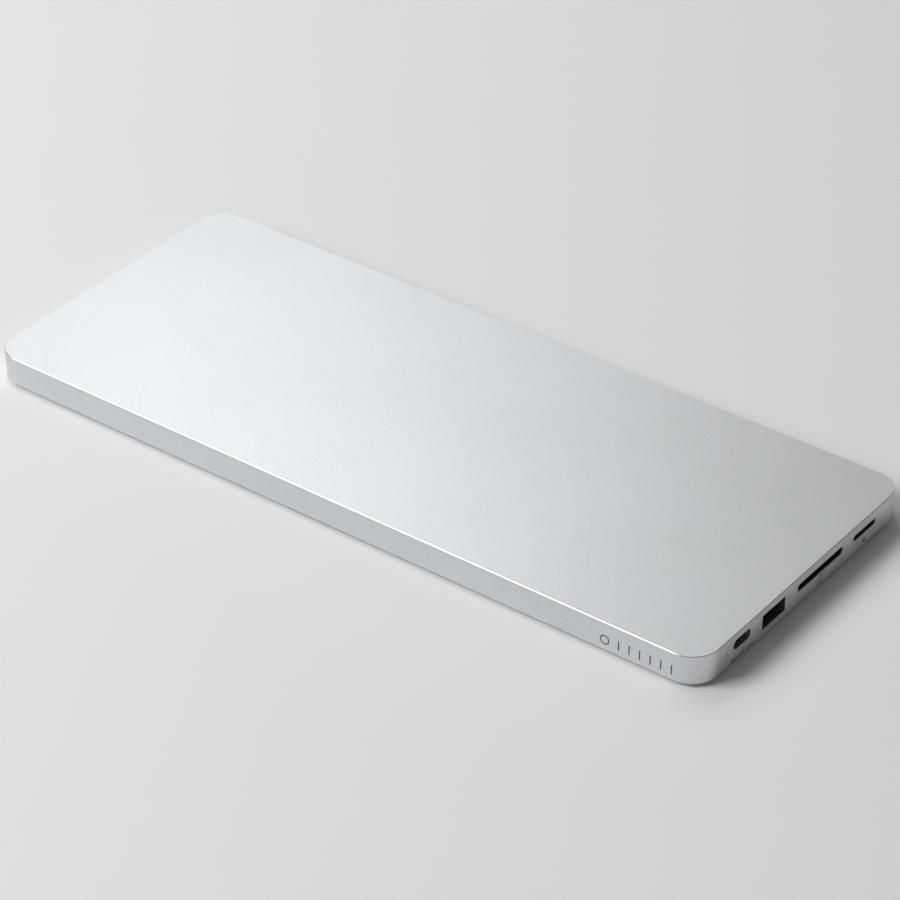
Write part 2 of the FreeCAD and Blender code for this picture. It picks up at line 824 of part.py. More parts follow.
def make_ssd_holder():
    """The post that the SSD's far end sits on, the turning retainer under it, and the screw it turns on."""
    along = "ssd_end"
    seat = "ssd_level + ssd_thickness"
    post = joined(
        rod("standoff_radius", along, 0, seat, CEILING),
        rod("ssd_notch_radius", along, 0, "ssd_level", CEILING),
    )
    thread_hole = rod(
        "pivot_thread_radius + thread_gap", along, 0,
        "ssd_level", f"{seat} + pivot_thread_reach + fit_gap",
    )
    node(without(post, thread_hole), "ssd_standoff")
    high = "ssd_level - retainer_gap"
    low = f"{high} - retainer_thickness"
    hub = rod("ssd_notch_radius", along, 0, low, high)
    finger = rod("finger_reach", along, 0, low, high, "2 * finger_half_angle")
    turned(finger, (0, 0, 1), -value("finger_half_angle"))
    rib = block(along, f"{along} + rib_reach", "-rib_width / 2", "rib_width / 2", f"{low} - rib_height", high)
    pin_hole = rod("pivot_radius + retainer_gap", along, 0, f"{low} - cut_past", f"{high} + cut_past")
    head_room = rod("pivot_head_radius + 2 * fit_gap", along, 0, f"{low} - rib_height", low)
    node(without(joined(hub, finger, rib), pin_hole, head_room), "ssd_retainer")
    head_top = f"{low} - retainer_gap"
    head_low = f"{head_top} - pivot_head_height"
    pin = joined(
        rod("pivot_head_radius", along, 0, head_low, head_top),
        rod("pivot_radius", along, 0, head_low, "ssd_level"),
        rod("pivot_thread_radius", along, 0, head_low, f"{seat} + pivot_thread_reach"),
    )
    slot = slab(
        along, 0, "driver_slot_length", "driver_slot_width", head_low, f"{head_low} + driver_slot_depth",
    )
    node(without(pin, slot), "retainer_screw")


def make_ssd_pad():
    """The soft pad that carries the SSD's heat to the roof."""
    pad_block = block(
        "ssd_end + ssd_pad_inset", "bay_right - ssd_pad_inset", "-ssd_pad_width / 2", "ssd_pad_width / 2",
        "ssd_level + ssd_thickness + ssd_chip_height", CEILING,
    )
    node(pad_block, "ssd_thermal_pad")


EDGE_LEFT = "bay_right - edge_overhang"
EDGE_RIGHT = "bay_right - edge_overhang + edge_length"
EDGE_PINS = 34


def make_edge_socket():
    """The M.2 edge socket that the SSD plugs into, sunk in a notch of the board."""
    housing = slab(
        f"{EDGE_LEFT} + edge_length / 2", 0, "edge_length", "edge_width",
        "ssd_level - edge_below", "ssd_level + edge_above",
    )
    slot_low = "ssd_level - edge_slot_gap"
    slot_high = "ssd_level + ssd_thickness + edge_slot_gap"
    slot = block(
        f"{EDGE_LEFT} - cut_past", f"{EDGE_LEFT} + edge_slot_depth",
        "-edge_slot_width / 2", "edge_slot_width / 2", slot_low, slot_high,
    )
    key = block(
        EDGE_LEFT, f"{EDGE_LEFT} + edge_slot_depth + cut_past",
        "edge_key_across - edge_key_width / 2", "edge_key_across + edge_key_width / 2",
        f"{slot_low} - cut_past", f"{slot_high} + cut_past",
    )
    tabs = [
        slab(
            "board_left + edge_tab_length * 3 / 4", f"{side} * (edge_width + edge_tab_reach) / 2",
            "edge_tab_length", "edge_tab_reach + cut_past", "board_top", "board_top + edge_tab_height",
        )
        for side in (-1, 1)
    ]
    node(joined(without(housing, slot), key, *tabs), "m2_socket_body")
    contacts = []
    for low in (slot_low, f"{slot_high} - edge_pin_sheet"):
        for pin in range(EDGE_PINS):
            across = f"{pin - (EDGE_PINS - 1) / 2} * edge_pin_pitch"
            if abs(value(f"{across} - edge_key_across")) > value("edge_key_width"):
                middle = f"{EDGE_LEFT} + edge_slot_depth - edge_pin_length / 2 - cut_past"
                contacts.append(
                    slab(middle, across, "edge_pin_length", "edge_pin_width", low, f"{low} + edge_pin_sheet")
                )
    node(group(contacts), "m2_socket_contacts")


# ---------------------------------------------------------------- main board and what stands on it


def make_main_board():
    """The circuit board, notched for the sunk connectors and the corner boss."""
    body = new_body("main_board")
    right = f"({HALF_LENGTH} - wall - board_gap)"
    rear = f"({HALF_WIDTH} - wall - board_gap)"
    outline = sketch_on(body, "XY_Plane", BOARD_BOTTOM)
    add_rectangle(outline, "board_left", right, "board_front", rear)
    pad(body, outline, "board_thickness")
    reach = "(type_a_width / 2 + shell_sheet + fit_gap)"
    sunk = "(type_a_lip + type_a_depth + type_a_notch)"
    boss_room = "(screw_inset + boss_radius + board_gap)"
    notches = sketch_on(body, "XY_Plane", BOARD_BOTTOM)
    add_rectangle(
        notches, f"{HALF_LENGTH} - {sunk}", f"{right} + cut_past",
        f"type_a_across - {reach}", f"type_a_across + {reach}",
    )
    for along in REAR_TYPE_A:
        add_rectangle(
            notches, f"{along} - {reach}", f"{along} + {reach}",
            f"{HALF_WIDTH} - {sunk}", f"{rear} + cut_past",
        )
    add_rectangle(
        notches, "board_left - cut_past", f"{EDGE_RIGHT} + fit_gap",
        "-socket_way_width / 2", "socket_way_width / 2",
    )
    add_rectangle(
        notches, f"{HALF_LENGTH} - {boss_room}", f"{right} + cut_past",
        f"{HALF_WIDTH} - {boss_room}", f"{rear} + cut_past",
    )
    pocket(body, notches, "board_thickness", along_normal=True)
    holes = circles_at(body, POSTS, "clear_radius", BOARD_BOTTOM)
    pocket(body, holes, "board_thickness", along_normal=True)
    return body


def make_board_screws():
    """Pan-head screws that hold the board up to the case's posts."""
    screws = []
    head_low = f"{BOARD_BOTTOM} - board_head_height"
    for along, across in POSTS:
        head = rod("head_radius", along, across, head_low, BOARD_BOTTOM)
        shank = rod("screw_radius", along, across, head_low, "board_top + board_screw_reach")
        screws.append(without(joined(head, shank), hex_socket(along, across, head_low)))
    node(group(screws), "board_screws")


CHIPS = {  # name: middle along and across, length, width and height
    "hub_controller": (84, -14, 10, 10, 0.9),
    "ssd_bridge_chip": (36, 0, 9, 9, 0.9),
    "card_reader_chip": (98, 12, 7, 7, 0.85),
    "rear_port_chip": (88, 30, 5, 5, 0.85),
    "flash_chip": (66, -16, 5.2, 4, 1.6),
}
SMALL_PARTS = {  # name: length, width and height, then the middles
    "power_switch_chips": ((3, 3, 0.8), [(117, -18), (90, 39.3), (112, 38.8)]),
    "crystals": ((3.2, 2.5, 0.7), [(84, -24), (36, 9), (98, 20)]),
    "inductors": ((5, 5, 3), [(52, -32), (52, -22), (60, 36)]),
    "esd_arrays": ((2.5, 1, 0.6), [(128, -35.5), (121.6, -18), (66, 46.5)]),
}
BULK_CAPACITORS = [(38, -37), (44, -37), (60, 26), (66, 26), (120, -30)]


def make_board_parts():
    """Chips and other parts that stand on the board, as plain packages."""
    for name, (along, across, length, width, height) in CHIPS.items():
        node(slab(along, across, length, width, "board_top", f"board_top + {height}"), name)
    for name, ((length, width, height), middles) in SMALL_PARTS.items():
        pieces = [slab(x, y, length, width, "board_top", f"board_top + {height}") for x, y in middles]
        node(group(pieces), name)
    cans = []
    for x, y in BULK_CAPACITORS:
        foot = slab(x, y, "can_foot_width", "can_foot_width", "board_top", "board_top + can_foot_height")
        cans.append(joined(foot, rod("can_radius", x, y, "board_top", "board_top + can_height")))
    node(group(cans), "bulk_capacitors")
    node(group(list(ceramics_by_chips())), "ceramic_capacitors")
    along, across, length, width, height = CHIPS["hub_controller"]
    chip_top = f"board_top + {height}"
    heat_pad = slab(
        along, across, f"{length} + 2 * pad_margin", f"{width} + 2 * pad_margin", chip_top, CEILING,
    )
    node(heat_pad, "controller_thermal_pad")


def ceramics_by_chips():
    """Four small capacitors by each chip, two along each of its long sides."""
    for along, across, length, width, _ in CHIPS.values():
        for side in (-1, 1):
            beside = f"{across} + {side} * ({width} / 2 + ceramic_from_chip)"
            for step in (-1, 1):
                yield slab(
                    f"{along} + {step} * {length} / 4", beside,
                    "ceramic_length", "ceramic_width", "board_top", "board_top + ceramic_width",
                )


def make_status_light():
    """The white light on the board and the clear pipe that brings it to the end face."""
    inside = f"{HALF_LENGTH} - wall"
    led = slab(
        f"{inside} - led_from_wall", "led_across", "led_length", "led_width",
        "board_top", "board_top + led_height",
    )
    node(led, "status_led")
    head = slab(
        f"{inside} - pipe_length / 2", "led_across", "pipe_length", "pipe_width",
        "board_top", "board_top + pipe_height",
    )
    pin_left, pin_right = f"{inside} - pipe_length / 2", f"{HALF_LENGTH} - pipe_recess"
    pin = rod_along("pipe_radius", pin_left, pin_right, "led_across", "led_level")
    node(joined(head, pin), "light_pipe")


# ---------------------------------------------------------------- connectors
# Each is made with its mouth to +X and the middle of its opening, in the case's face, at the origin.

SOLDER_TAB = {"length": 4, "reach": 1.5, "height": 0.3, "from_back": 5}
CONTACT_SHEET = 0.14
PLAIN_CONTACT = {"along": -8.2, "length": 6, "width": 1}
PLAIN_CONTACTS = (-3.5, -1, 1, 3.5)
FAST_CONTACT = {"along": -4, "length": 1.6, "width": 0.7}
FAST_CONTACTS = (-4, -2, 0, 2, 4)
TYPE_C_LEG = {"length": 1.2, "width": 1.4}
TYPE_C_LEGS = [(-6.6, -2.1), (-6.6, 2.1), (-3.4, -2.1), (-3.4, 2.1)]
TYPE_C_CONTACT = {"from_back": 3.9, "length": 4, "width": 0.25, "height": 0.05}
TYPE_C_PINS = 12
TYPE_C_PITCH = 0.5


def placed(item, place, name):
    """Puts a connector's sub-part in its port and names it."""
    along, across, level, degrees = place
    turned(item, (0, 0, 1), degrees)
    return node(at(item, along, across, level), name)


def end_port(name):
    """A place in the port end."""
    return HALF_LENGTH, f"{name}_across", f"{name}_level", 0


def rear_port(along, name):
    """A place in the rear side."""
    return along, HALF_WIDTH, f"{name}_level", 90


def make_type_a(prefix, place, fast):
    """A type A receptacle sunk through the board: steel shell, tongue and contacts."""
    mouth = "-type_a_lip"
    back = "-type_a_lip - type_a_depth"
    half, rise = "type_a_width / 2", "type_a_height / 2"
    outer = block(
        back, mouth, f"-{half} - shell_sheet", f"{half} + shell_sheet",
        f"-{rise} - shell_sheet", f"{rise} + shell_sheet",
    )
    inner = block(f"{back} + shell_sheet", "0", f"-{half}", half, f"-{rise}", rise)
    tab_low = "board_top - type_a_level"
    tabs = []
    for side in (-1, 1):
        middle = f"{side} * (type_a_width / 2 + {SOLDER_TAB['reach']} / 2)"
        tabs.append(slab(
            f"{back} + {SOLDER_TAB['from_back']}", middle, SOLDER_TAB["length"], SOLDER_TAB["reach"],
            tab_low, f"{tab_low} + {SOLDER_TAB['height']}",
        ))
    placed(without(joined(outer, *tabs), inner), place, f"{prefix}_shell")
    block_front = f"{back} + shell_sheet + type_a_block"
    carrier = joined(
        block(f"{back} + shell_sheet", block_front, f"-{half}", half, f"-{rise}", rise),
        block(
            f"{back} + shell_sheet", f"{mouth} - type_a_tongue_setback",
            "-type_a_tongue_width / 2", "type_a_tongue_width / 2", "0", "type_a_tongue_height",
        ),
    )
    placed(carrier, place, f"{prefix}_insulator")
    contacts = []
    rows = [(PLAIN_CONTACT, PLAIN_CONTACTS)]
    if fast:
        rows.append((FAST_CONTACT, FAST_CONTACTS))
    for strip, places in rows:
        for across in places:
            contacts.append(slab(strip["along"], across, strip["length"], strip["width"], -CONTACT_SHEET, 0))
    placed(group(contacts), place, f"{prefix}_contacts")


def stadium_bar(name, width, height, back, length, inset):
    """A bar along X with a section that is round at both ends."""
    body = doc.addObject("PartDesign::Body", name)
    sketch = sketch_on(body, "YZ_Plane", back)
    add_stadium(sketch, "0", "0", f"{width} - 2 * ({inset})", f"{height} - 2 * ({inset})")
    pad(body, sketch, length)
    return body


def make_type_c(prefix, place):
    """A type C receptacle that stands on the board: shell, centre tongue and contacts."""
    back = "-type_c_depth - type_c_lip"
    outer = stadium_bar("outer", "type_c_width", "type_c_height", back, "type_c_depth", "-shell_sheet")
    inner = stadium_bar(
        "inner", "type_c_width", "type_c_height", back, "type_c_depth + cut_past", "0",
    )
    legs = [
        slab(
            along, across, TYPE_C_LEG["length"], TYPE_C_LEG["width"],
            "board_top - type_c_level", "-type_c_height / 2 - shell_sheet / 2",
        )
        for along, across in TYPE_C_LEGS
    ]
    placed(without(joined(outer, *legs), inner), place, f"{prefix}_shell")
    plug = stadium_bar("plug", "type_c_width", "type_c_height", back, "type_c_block", "thread_gap")
    tongue = block(
        back, "-type_c_lip - type_c_tongue_setback",
        "-type_c_tongue_width / 2", "type_c_tongue_width / 2",
        "-type_c_tongue_height / 2", "type_c_tongue_height / 2",
    )
    placed(joined(plug, tongue), place, f"{prefix}_tongue")
    contacts = []
    strip = TYPE_C_CONTACT
    face = "type_c_tongue_height / 2"
    for low, high in ((face, f"{face} + {strip['height']}"), (f"-{face} - {strip['height']}", f"-{face}")):
        for pin in range(TYPE_C_PINS):
            across = (pin - (TYPE_C_PINS - 1) / 2) * TYPE_C_PITCH
            middle = f"{back} + {strip['from_back']}"
            contacts.append(slab(middle, across, strip["length"], strip["width"], low, high))
    placed(group(contacts), place, f"{prefix}_contacts")


def make_card_socket(prefix, name, contact_count, pitch, contact_width):
    """A push-in card reader that stands on the board: moulded frame, steel cover and spring contacts."""
    place = end_port(name)
    front = "-card_lip - cover_sheet / 4"
    back = f"{front} - {name}_depth"
    half_card, half_high = f"{name}_card_width / 2", f"{name}_card_height / 2"
    outer = f"({half_card} + {name}_rail)"
    low = f"board_top - {name}_level"
    frame = without(
        block(back, front, f"-{outer}", outer, low, half_high),
        block(f"{back} + card_stop", "0", f"-{half_card}", half_card, f"-{half_high}", name + "_level"),
    )
    placed(frame, place, f"{prefix}_frame")
    skirt_low = f"{low} + cover_sheet"
    cover_top = f"{half_high} + cover_sheet"
    cover = joined(
        block(back, front, f"-{outer} - cover_sheet", f"{outer} + cover_sheet", half_high, cover_top),
        block(back, front, f"-{outer} - cover_sheet", f"-{outer}", skirt_low, cover_top),
        block(back, front, outer, f"{outer} + cover_sheet", skirt_low, cover_top),
    )
    placed(cover, place, f"{prefix}_cover")
    contacts = []
    for pin in range(contact_count):
        across = (pin - (contact_count - 1) / 2) * pitch
        middle = f"{back} + card_stop + card_contact_length"
        contacts.append(slab(
            middle, across, "card_contact_length", contact_width,
            f"-{half_high}", f"-{half_high} + card_contact_rise",
        ))
    placed(group(contacts), place, f"{prefix}_contacts")


def make_connectors():
    """Every connector of the hub."""
    make_type_c("usb_c", end_port("type_c"))
    make_type_a("usb_a", end_port("type_a"), fast=True)
    make_card_socket("sd_socket", "sd", contact_count=9, pitch=2.5, contact_width=1.1)
    make_card_socket("microsd_socket", "micro", contact_count=8, pitch=1.1, contact_width=0.6)
    make_type_c("host_usb_c", rear_port("host_along", "type_c"))
    make_type_a("rear_usb_a_left", rear_port("rear_left_along", "type_a"), fast=False)
    make_type_a("rear_usb_a_right", rear_port("rear_right_along", "type_a"), fast=False)


# ---------------------------------------------------------------- checks and files


def check_features():
    """Stops on a failed object, or on a pad or pocket that did nothing."""
    doc.recompute()
    failed = [item.Name for item in doc.Objects if {"Invalid", "Error"} & set(item.State)]
    for features, sign in ((additive_features, 1), (cutting_features, -1)):
        for feature in features:
            before = feature.BaseFeature.Shape.Volume if feature.BaseFeature else 0
            if sign * (feature.Shape.Volume - before) < 0.001:
                failed.append(f"{feature.Name} of {feature.getParentGeoFeatureGroup().Label} changes nothing")
    for item in nodes:
        if item.Shape.isNull() or not item.Shape.isValid() or not item.Shape.Solids:
            failed.append(f"{item.Label} has no valid solid")
    if failed:
        raise SystemExit("failed: " + ", ".join(failed))


def write_nodes():
    """Writes one STEP file for each sub-part."""
    os.makedirs("parts", exist_ok=True)
    for item in nodes:
        item.Shape.exportStep(f"parts/{item.Label}.step")
        print(f"{item.Label}: {len(item.Shape.Solids)} solids, {item.Shape.Volume:.2f} mm3")


make_case()
make_base_plate()
make_feet()
make_base_screws()
make_bay_frame()
make_ssd_cover()
make_ssd_holder()
make_ssd_pad()
make_edge_socket()
make_main_board()
make_board_screws()
make_board_parts()
make_status_light()
make_connectors()
check_features()
write_nodes()
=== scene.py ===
import json
import math

import bpy
from mathutils import Matrix, Vector


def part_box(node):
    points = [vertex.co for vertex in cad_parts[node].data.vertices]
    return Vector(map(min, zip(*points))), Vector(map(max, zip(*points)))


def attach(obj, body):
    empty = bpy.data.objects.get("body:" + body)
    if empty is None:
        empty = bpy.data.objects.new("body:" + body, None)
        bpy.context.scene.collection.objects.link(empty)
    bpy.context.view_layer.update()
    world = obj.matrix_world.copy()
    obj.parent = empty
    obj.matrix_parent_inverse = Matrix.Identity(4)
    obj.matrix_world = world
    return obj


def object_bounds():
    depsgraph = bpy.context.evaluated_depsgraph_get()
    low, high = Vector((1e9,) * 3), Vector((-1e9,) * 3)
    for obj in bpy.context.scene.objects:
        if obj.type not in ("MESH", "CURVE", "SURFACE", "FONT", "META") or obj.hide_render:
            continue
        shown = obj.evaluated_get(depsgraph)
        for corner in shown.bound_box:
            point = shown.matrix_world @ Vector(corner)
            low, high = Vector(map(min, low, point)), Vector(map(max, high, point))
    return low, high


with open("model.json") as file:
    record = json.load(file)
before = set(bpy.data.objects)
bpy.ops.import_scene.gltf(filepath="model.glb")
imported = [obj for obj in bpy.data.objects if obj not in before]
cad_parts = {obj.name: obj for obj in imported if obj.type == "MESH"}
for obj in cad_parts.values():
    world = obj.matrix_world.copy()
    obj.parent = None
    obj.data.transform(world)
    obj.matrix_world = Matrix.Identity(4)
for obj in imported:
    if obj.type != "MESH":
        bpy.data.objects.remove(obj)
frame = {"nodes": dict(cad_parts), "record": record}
cad_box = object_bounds()

MM = 0.001
CASE_LOW, CASE_HIGH = (Vector(corner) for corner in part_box("top_case"))
CASE_LENGTH = CASE_HIGH.x - CASE_LOW.x
END_X = CASE_HIGH.x
FRONT_Y = CASE_LOW.y
CORNER = 9.5 * MM
INK_PROUD = 0.004 * MM
FLOOR_GAP = 0.2 * MM
FLOOR_REACH = 6.0
WORLD_GREY = (0.02, 0.02, 0.02, 1)

# The case's aluminium: its faint clouds, the painted shade on its port walls and inside, and its
# bright-cut edge.
# Each pair of depths or tilts says where the change starts and where it is complete.
CLOUD_MM = 45
# Painted shade: the dark grey given to the port walls and the inside of the case, where little
# light gets in.
PAINTED_WALL_SHADE = (0.25, 0.25, 0.26)
CUT_EDGE_ROUGHNESS = 0.3
CUT_EDGE_SHADE = 0.5
WALL_DEPTHS = (0.15 * MM, 0.3 * MM)
ROOF_DEPTHS = (0.5 * MM, 0.7 * MM)
UPRIGHT_TILTS = (0.35, 0.55)
LEVEL_TILTS = (0.85, 0.95)


# ---------------------------------------------------------------- camera

AZIMUTH, ELEVATION, ROLL = (math.radians(degrees) for degrees in (36.7565, 34.4572, 0.219))
LENS_MM, FILM_MM = 137.34, 36.0
NEAREST, FARTHEST = 0.01, 100
DISTANCE, SIDE_STEP, UP_STEP = 3.96375, 0.015514, -0.010977  # in case lengths


def make_camera():
    """The photograph's view: a long lens, from the right end's front corner, above."""
    back = Vector((
        math.sin(AZIMUTH) * math.cos(ELEVATION),
        -math.cos(AZIMUTH) * math.cos(ELEVATION),
        math.sin(ELEVATION),
    ))
    level_right = Vector((math.cos(AZIMUTH), math.sin(AZIMUTH), 0))
    level_up = back.cross(level_right)
    right = math.cos(ROLL) * level_right + math.sin(ROLL) * level_up
    up = math.cos(ROLL) * level_up - math.sin(ROLL) * level_right
    place = (right * SIDE_STEP + up * UP_STEP + back * DISTANCE) * CASE_LENGTH
    place.z += CASE_LOW.z
    data = bpy.data.cameras.new("camera")
    data.sensor_width = FILM_MM
    data.lens = LENS_MM
    data.clip_start, data.clip_end = NEAREST, FARTHEST
    camera = bpy.data.objects.new("camera", data)
    turned = Matrix((right, up, back)).transposed().to_4x4()
    camera.matrix_world = Matrix.Translation(place) @ turned
    bpy.context.scene.collection.objects.link(camera)
    bpy.context.scene.camera = camera


# ---------------------------------------------------------------- node helpers

NOISE_LOW, NOISE_HIGH = 0.3, 0.7  # most of a noise lies between these


class Surface:
    """A node material in the making: its tree, its shader and object coordinates in millimetres."""

    def __init__(self, name, **sockets):
        self.material = bpy.data.materials.new(name)
        self.material.use_nodes = True
        self.tree = self.material.node_tree
        self.shader = self.tree.nodes["Principled BSDF"]
        for socket, number in sockets.items():
            self.shader.inputs[socket.replace("_", " ")].default_value = number
        coordinates = self.add("ShaderNodeTexCoord")
        self.place = coordinates.outputs["Object"]
        self.facing = coordinates.outputs["Normal"]
        self.millimetres = self.vector_math("SCALE", self.place, scale=1 / MM)

    def add(self, kind, **settings):
        node = self.tree.nodes.new(kind)
        for name, setting in settings.items():
            setattr(node, name, setting)
        return node

    def join(self, source, socket):
        """Sets a socket to a number or a tuple, or links another node's output to it."""
        if isinstance(source, (int, float, tuple)):
            socket.default_value = source
        else:
            self.tree.links.new(source, socket)

    def vector_math(self, operation, first, second=None, scale=None):
        node = self.add("ShaderNodeVectorMath", operation=operation)
        self.join(first, node.inputs[0])
        if second is not None:
            self.join(second, node.inputs[1])
        if scale is not None:
            node.inputs["Scale"].default_value = scale
        return node.outputs["Value" if operation in ("DOT_PRODUCT", "LENGTH") else "Vector"]

    def maths(self, operation, *values):
        node = self.add("ShaderNodeMath", operation=operation)
        for value, socket in zip(values, node.inputs):
            self.join(value, socket)
        return node.outputs[0]

    def noise(self, cell_mm, detail=2.0, roughness=0.5, stretch=(1, 1, 1)):
        """Noise with features of about that many millimetres, from 0 to 1."""
        node = self.add("ShaderNodeTexNoise")
        self.join(self.vector_math("MULTIPLY", self.millimetres, stretch), node.inputs["Vector"])
        node.inputs["Scale"].default_value = 1 / cell_mm
        node.inputs["Detail"].default_value = detail
        node.inputs["Roughness"].default_value = roughness
        return node.outputs["Fac"]

    def cells(self, cell_mm):
        """Distance to the nearest of scattered points that many millimetres apart."""
        node = self.add("ShaderNodeTexVoronoi")
        self.join(self.millimetres, node.inputs["Vector"])
        node.inputs["Scale"].default_value = 1 / cell_mm
        return node.outputs["Distance"]

    def remap(self, value, low, high, from_low=0.0, from_high=1.0):
        """A number that goes smoothly from low to high as value does from from_low to from_high."""
        node = self.add("ShaderNodeMapRange", interpolation_type="SMOOTHSTEP")
        self.join(value, node.inputs["Value"])
        for socket, number in zip(node.inputs[1:5], (from_low, from_high, low, high)):
            socket.default_value = number
        return node.outputs["Result"]

    def between(self, value, first, second):
        """A colour from the first to the second as value goes from 0 to 1."""
        node = self.add("ShaderNodeMix", data_type="RGBA")
        self.join(value, node.inputs["Factor"])
        for source, name in ((first, "A"), (second, "B")):
            self.join((*source, 1) if isinstance(source, tuple) else source, node.inputs[name])
        return node.outputs["Result"]

    def blend_numbers(self, value, first, second):
        """A number from the first to the second as value goes from 0 to 1."""
        node = self.add("ShaderNodeMix", data_type="FLOAT")
        for source, name in ((value, "Factor"), (first, "A"), (second, "B")):
            self.join(source, node.inputs[name])
        return node.outputs["Result"]

    def colour(self, source):
        self.join(source, self.shader.inputs["Base Color"])

    def colour_by(self, value, dark, light, low=NOISE_LOW, high=NOISE_HIGH):
        """Base colour from dark to light as value goes from low to high."""
        self.colour(self.between(self.remap(value, 0, 1, low, high), dark, light))

    def rough(self, source):
        self.join(source, self.shader.inputs["Roughness"])

    def rough_by(self, value, smooth, rough, low=NOISE_LOW, high=NOISE_HIGH):
        """Roughness from smooth to rough as value goes from low to high."""
        self.rough(self.remap(value, smooth, rough, low, high))

    def bump(self, height, depth_mm, strength=1.0):
        """Relief of that depth, on top of any relief already there."""
        node = self.add("ShaderNodeBump")
        node.inputs["Strength"].default_value = strength
        node.inputs["Distance"].default_value = depth_mm * MM
        self.join(height, node.inputs["Height"])
        socket = self.shader.inputs["Normal"]
        if socket.is_linked:
            self.tree.links.new(socket.links[0].from_socket, node.inputs["Normal"])
        self.tree.links.new(node.outputs["Normal"], socket)


# ---------------------------------------------------------------- materials


def scaled(colour, shade):
    """A colour made darker or lighter."""
    return tuple(part * shade for part in colour)


def blasted_aluminium(name, tint, roughness, grain_mm, milled_with_wall_shade=False):
    """Bead-blasted, mottled aluminium; the milled case also has painted shade on its port walls and
    inside, and cut edges.
    """
    surface = Surface(name, Metallic=1.0)
    grain = surface.noise(grain_mm, detail=3.0, roughness=0.65)
    mottle = surface.maths("MULTIPLY", surface.noise(2.2 * grain_mm, detail=1.0), 0.8)
    cloud = surface.maths("MULTIPLY", surface.noise(CLOUD_MM), 0.2)
    tone = surface.remap(surface.maths("ADD", mottle, cloud), 0, 1, NOISE_LOW, NOISE_HIGH)
    skin = surface.between(tone, scaled(tint, 0.94), scaled(tint, 1.04))
    blasted = surface.remap(grain, roughness - 0.05, roughness + 0.06, NOISE_LOW, NOISE_HIGH)
    if milled_with_wall_shade:
        edge = sloping(surface)
        skin = surface.between(edge, skin, scaled(tint, CUT_EDGE_SHADE))
        # Painted shade: the port walls and the inside of the case are coloured dark grey.
        skin = surface.between(painted_shade_inside(surface), skin, PAINTED_WALL_SHADE)
        blasted = surface.blend_numbers(edge, blasted, CUT_EDGE_ROUGHNESS)
    surface.colour(skin)
    surface.rough(blasted)
    surface.bump(surface.cells(1.7 * grain_mm), depth_mm=0.012, strength=0.5)
    surface.bump(grain, depth_mm=0.01, strength=0.6)
    return surface.material


def painted_shade_inside(surface):
    """Where the painted shade goes: 1 on the walls of the port openings and inside the case, 0 on
    its outer faces.
    """
    middle = tuple((CASE_LOW + CASE_HIGH) / 2)
    reach = tuple((CASE_HIGH - CASE_LOW) / 2 - Vector((CORNER, CORNER, 0)))
    from_middle = surface.vector_math("SUBTRACT", surface.place, middle)
    past = surface.vector_math("SUBTRACT", surface.vector_math("ABSOLUTE", from_middle), reach)
    past_corner = surface.vector_math("MAXIMUM", past, (0, 0, -1))
    level = surface.vector_math("MULTIPLY", past_corner, (1, 1, 0))
    depth = surface.maths("SUBTRACT", CORNER, surface.vector_math("LENGTH", level))
    under_roof = surface.vector_math("DOT_PRODUCT", past, (0, 0, -1))
    in_wall = surface.remap(depth, 0, 1, *WALL_DEPTHS)
    return surface.maths("MULTIPLY", in_wall, surface.remap(under_roof, 0, 1, *ROOF_DEPTHS))


def sloping(surface):
    """1 on the bright-cut slope round the top, 0 on level and upright faces."""
    tilt = surface.vector_math("DOT_PRODUCT", surface.facing, (0, 0, 1))
    leaves_upright = surface.remap(tilt, 0, 1, *UPRIGHT_TILTS)
    leaves_level = surface.remap(tilt, 1, 0, *LEVEL_TILTS)
    return surface.maths("MULTIPLY", leaves_upright, leaves_level)


def moulded_plastic(name, dark, light, roughness, grain_mm=0.25, depth_mm=0.01):
    """Plastic, epoxy or ceramic from a mould, with a fine grain."""
    surface = Surface(name)
    grain = surface.noise(grain_mm, detail=2.0, roughness=0.6)
    surface.colour_by(surface.noise(3.0), dark, light)
    surface.rough_by(grain, roughness - 0.06, roughness + 0.08)
    surface.bump(grain, depth_mm)
    return surface.material


def foot_rubber():
    """Matt rubber with a fine tooth and a little dust in it."""
    surface = Surface("foot_rubber", Specular_IOR_Level=0.35)
    specks = surface.noise(1.4, detail=6.0, roughness=0.7)
    dust = surface.maths("MULTIPLY", specks, surface.noise(12.0))
    surface.colour_by(dust, (0.018, 0.018, 0.02), (0.055, 0.054, 0.052), 0.28, 0.5)
    surface.rough_by(surface.noise(0.3), 0.68, 0.86)
    surface.bump(surface.cells(0.35), 0.03)
    return surface.material


def soft_pad():
    """A filled silicone pad, a little uneven."""
    surface = Surface("thermal_pad", Specular_IOR_Level=0.4)
    blotch = surface.noise(2.5, detail=4.0)
    surface.colour_by(blotch, (0.20, 0.26, 0.36), (0.27, 0.33, 0.44), 0.35, 0.65)
    surface.rough_by(blotch, 0.55, 0.75)
    surface.bump(surface.noise(0.6), 0.04)
    return surface.material


def plated_steel(name, dark, light, roughness):
    """Pressed sheet steel with a plated finish and faint drawing lines."""
    surface = Surface(name, Metallic=1.0)
    lines = surface.noise(0.12, detail=3.0, stretch=(0.06, 1, 1))
    stain = surface.noise(2.0, detail=3.0)
    surface.colour_by(stain, dark, light)
    surface.rough_by(lines, roughness - 0.06, roughness + 0.1, 0.25, 0.75)
    surface.bump(lines, depth_mm=0.004, strength=0.6)
    return surface.material


def screw_steel():
    """Zinc-plated screws, slightly clouded."""
    surface = Surface("screw_steel", Metallic=1.0)
    cloud = surface.noise(0.5, detail=4.0)
    surface.colour_by(cloud, (0.42, 0.42, 0.43), (0.62, 0.62, 0.63))
    surface.rough_by(cloud, 0.25, 0.42)
    surface.bump(cloud, 0.006)
    return surface.material


